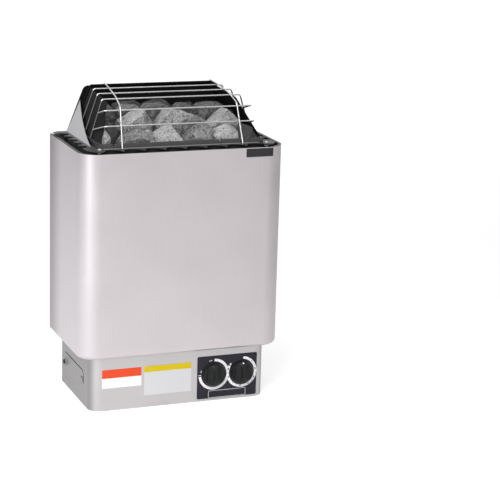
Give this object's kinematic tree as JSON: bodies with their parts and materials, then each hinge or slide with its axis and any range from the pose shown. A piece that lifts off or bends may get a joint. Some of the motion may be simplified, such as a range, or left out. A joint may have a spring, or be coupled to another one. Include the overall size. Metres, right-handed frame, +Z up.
{
  "type": "electric sauna heater",
  "caption": "Wall-hung electric sauna heater: satin steel casing over a connection box with dials, stones under a leaning wire guard, and a rack for the wall.",
  "frame": {"origin": "middle of the overall box, on its bottom face", "axes": "+Z up; the dials face -Y and the wall rack faces +Y; +X is to the right seen from the front"},
  "size_m": [0.41, 0.2658, 0.6103],
  "materials": {
    "satin_steel": "satin",
    "light_grey_steel": "satin",
    "zinc_steel": "zinc plated",
    "black_enamel": "satin",
    "polished_steel": "polished",
    "wire_steel": "bright",
    "rock": "rough",
    "black_plastic": "satin",
    "dark_plate": "satin",
    "element_steel": "heat tinted",
    "brass": "plain",
    "copper": "plain",
    "white_ceramic": "plain",
    "grey_plastic": "satin",
    "silicone": "plain",
    "sticker_paper": "printed",
    "red_plastic": "gloss"
  },
  "bodies": {
    "heater": {"bottom_cover": "zinc_steel", "bottom_cover_screws": "zinc_steel", "box_rear_panel": "zinc_steel", "box_stickers": "sticker_paper", "box_top_plate": "zinc_steel", "cable_gland": "black_plastic", "casing_sticker": "black_plastic", "control_blades": "brass", "control_plate": "dark_plate", "control_screws": "zinc_steel", "element_leads": "silicone", "element_nuts": "brass", "element_terminals": "white_ceramic", "gland_locknut": "black_plastic", "grate_supports": "zinc_steel", "guard_back_plate": "black_enamel", "guard_bar_1": "wire_steel", "guard_bar_2": "wire_steel", "guard_bar_3": "wire_steel", "guard_bar_4": "wire_steel", "guard_front_bar_1": "wire_steel", "guard_front_bar_2": "wire_steel", "guard_front_rail": "zinc_steel", "guard_inner_plates": "black_enamel", "guard_side_rails": "zinc_steel", "guard_upright_left": "wire_steel", "guard_upright_right": "wire_steel", "guard_wings": "polished_steel", "heat_shield": "zinc_steel", "heating_element_1": "element_steel", "heating_element_2": "element_steel", "heating_element_3": "element_steel", "inner_jacket": "zinc_steel", "limiter_body": "grey_plastic", "limiter_nut": "black_plastic", "lower_box_shell": "light_grey_steel", "neutral_strip": "copper", "outer_casing": "satin_steel", "rear_panel": "zinc_steel", "rear_screws": "zinc_steel", "rear_spacers": "zinc_steel", "rim_nuts": "zinc_steel", "rim_screws": "zinc_steel", "sensor_bulb": "copper", "sensor_capillary": "copper", "sensor_clip": "zinc_steel", "stone_grate": "zinc_steel", "stones_lower": "rock", "stones_upper": "rock", "terminal_block": "white_ceramic", "terminal_screws": "brass", "thermostat_body": "grey_plastic", "timer_body": "grey_plastic", "vent_comb": "black_enamel", "wall_rack": "zinc_steel"},
    "thermostat_dial": {"thermostat_knob": "black_plastic", "thermostat_spindle": "zinc_steel"},
    "timer_dial": {"timer_knob": "black_plastic", "timer_spindle": "zinc_steel"},
    "reset": {"reset_button": "red_plastic"}
  },
  "joints": [
    {"name": "thermostat_turn", "type": "hinge", "parent": "heater", "child": "thermostat_dial", "pos_m": [0.072, -0.1139, 0.0545], "axis": [0, 1, 0], "range_deg": [0, 270]},
    {"name": "timer_turn", "type": "hinge", "parent": "heater", "child": "timer_dial", "pos_m": [0.1305, -0.1139, 0.0545], "axis": [0, 1, 0], "range_deg": [0, 315]},
    {"name": "reset_press", "type": "slide", "parent": "heater", "child": "reset", "axis": [1, 0, 0], "range_m": [0, 0.0025], "stiffness_N_per_m": 600, "springref_m": -0.001}
  ]
}
